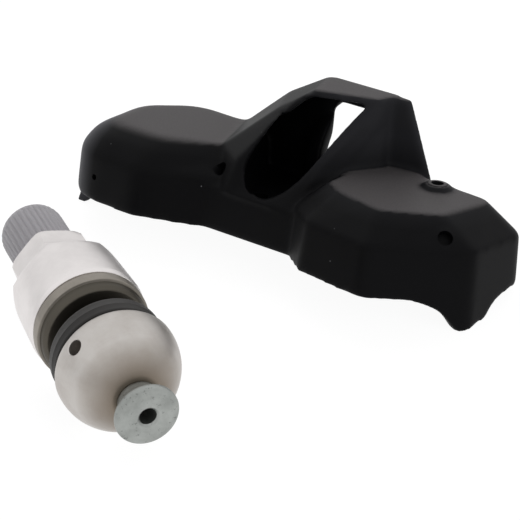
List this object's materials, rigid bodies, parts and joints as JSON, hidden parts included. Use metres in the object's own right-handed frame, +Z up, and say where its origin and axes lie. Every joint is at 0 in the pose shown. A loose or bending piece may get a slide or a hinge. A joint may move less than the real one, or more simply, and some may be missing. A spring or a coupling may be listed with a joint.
{
  "type": "tyre pressure sensor",
  "caption": "Black moulded wheel sensor housing with a slotted ball seat, and its clamp-in metal valve with ball foot, rubber seal, washer, hexagon nut and ribbed cap lying beside it.",
  "frame": {"origin": "on the floor, under the middle of the bounding box of the housing and the valve together", "axes": "+X along the housing from its left lobe to its right lobe, +Y from the valve towards the housing's back, +Z up"},
  "size_m": [0.0776, 0.078, 0.0254],
  "materials": {
    "housing_shell": "fine moulded texture, soft edges",
    "resin_seal": "poured resin",
    "circuit_board": "solder mask",
    "coin_cell": "drawn steel",
    "cell_top_tab": "plain",
    "cell_bottom_tab": "plain",
    "pressure_chip": "moulded package",
    "controller_chip": "moulded package",
    "port_gasket": "soft silicone",
    "port_filter": "porous membrane",
    "coil_core": "sintered ferrite",
    "coil_winding": "enamelled copper wire",
    "crystal_can": "plain",
    "tuning_capacitors": "ceramic",
    "radio_antenna": "tinned strip",
    "valve_stem": "satin, turned",
    "rim_seal": "moulded",
    "clamp_washer": "dull olive grey",
    "clamp_nut": "bright satin",
    "valve_cap": "fine lengthwise ribs",
    "cap_seal": "plain",
    "fixing_screw": "dull, sintered",
    "core_barrel": "turned",
    "core_gasket": "plain",
    "core_pin": "turned",
    "core_seal": "plain",
    "core_spring": "wire"
  },
  "bodies": {
    "sensor": {"housing_shell": "housing_shell", "resin_seal": "resin_seal", "circuit_board": "circuit_board", "coin_cell": "coin_cell", "cell_top_tab": "cell_top_tab", "cell_bottom_tab": "cell_bottom_tab", "pressure_chip": "pressure_chip", "controller_chip": "controller_chip", "port_gasket": "port_gasket", "port_filter": "port_filter", "coil_core": "coil_core", "coil_winding": "coil_winding", "crystal_can": "crystal_can", "tuning_capacitors": "tuning_capacitors", "radio_antenna": "radio_antenna", "valve_stem": "valve_stem", "rim_seal": "rim_seal", "clamp_washer": "clamp_washer", "core_barrel": "core_barrel", "core_gasket": "core_gasket", "core_spring": "core_spring"},
    "cap": {"valve_cap": "valve_cap", "cap_seal": "cap_seal"},
    "nut": {"clamp_nut": "clamp_nut"},
    "screw": {"fixing_screw": "fixing_screw"},
    "core": {"core_pin": "core_pin", "core_seal": "core_seal"}
  },
  "joints": [
    {"name": "cap_off", "type": "slide", "parent": "sensor", "child": "cap", "axis": [-0.8526, 0.5225, 0], "range_m": [0, 0.014]},
    {"name": "nut_spin", "type": "hinge", "parent": "sensor", "child": "nut", "pos_m": [-0.00394, -0.02182, 0.00925], "axis": [-0.8526, 0.5225, 0], "continuous": true},
    {"name": "screw_out", "type": "slide", "parent": "sensor", "child": "screw", "axis": [0.8526, -0.5225, 0], "range_m": [0, 0.012]},
    {"name": "core_press", "type": "slide", "parent": "sensor", "child": "core", "axis": [0.8526, -0.5225, 0], "range_m": [0, 0.0008], "stiffness_N_per_m": 800, "springref_m": -0.0005, "deforming": ["core_spring"]}
  ]
}
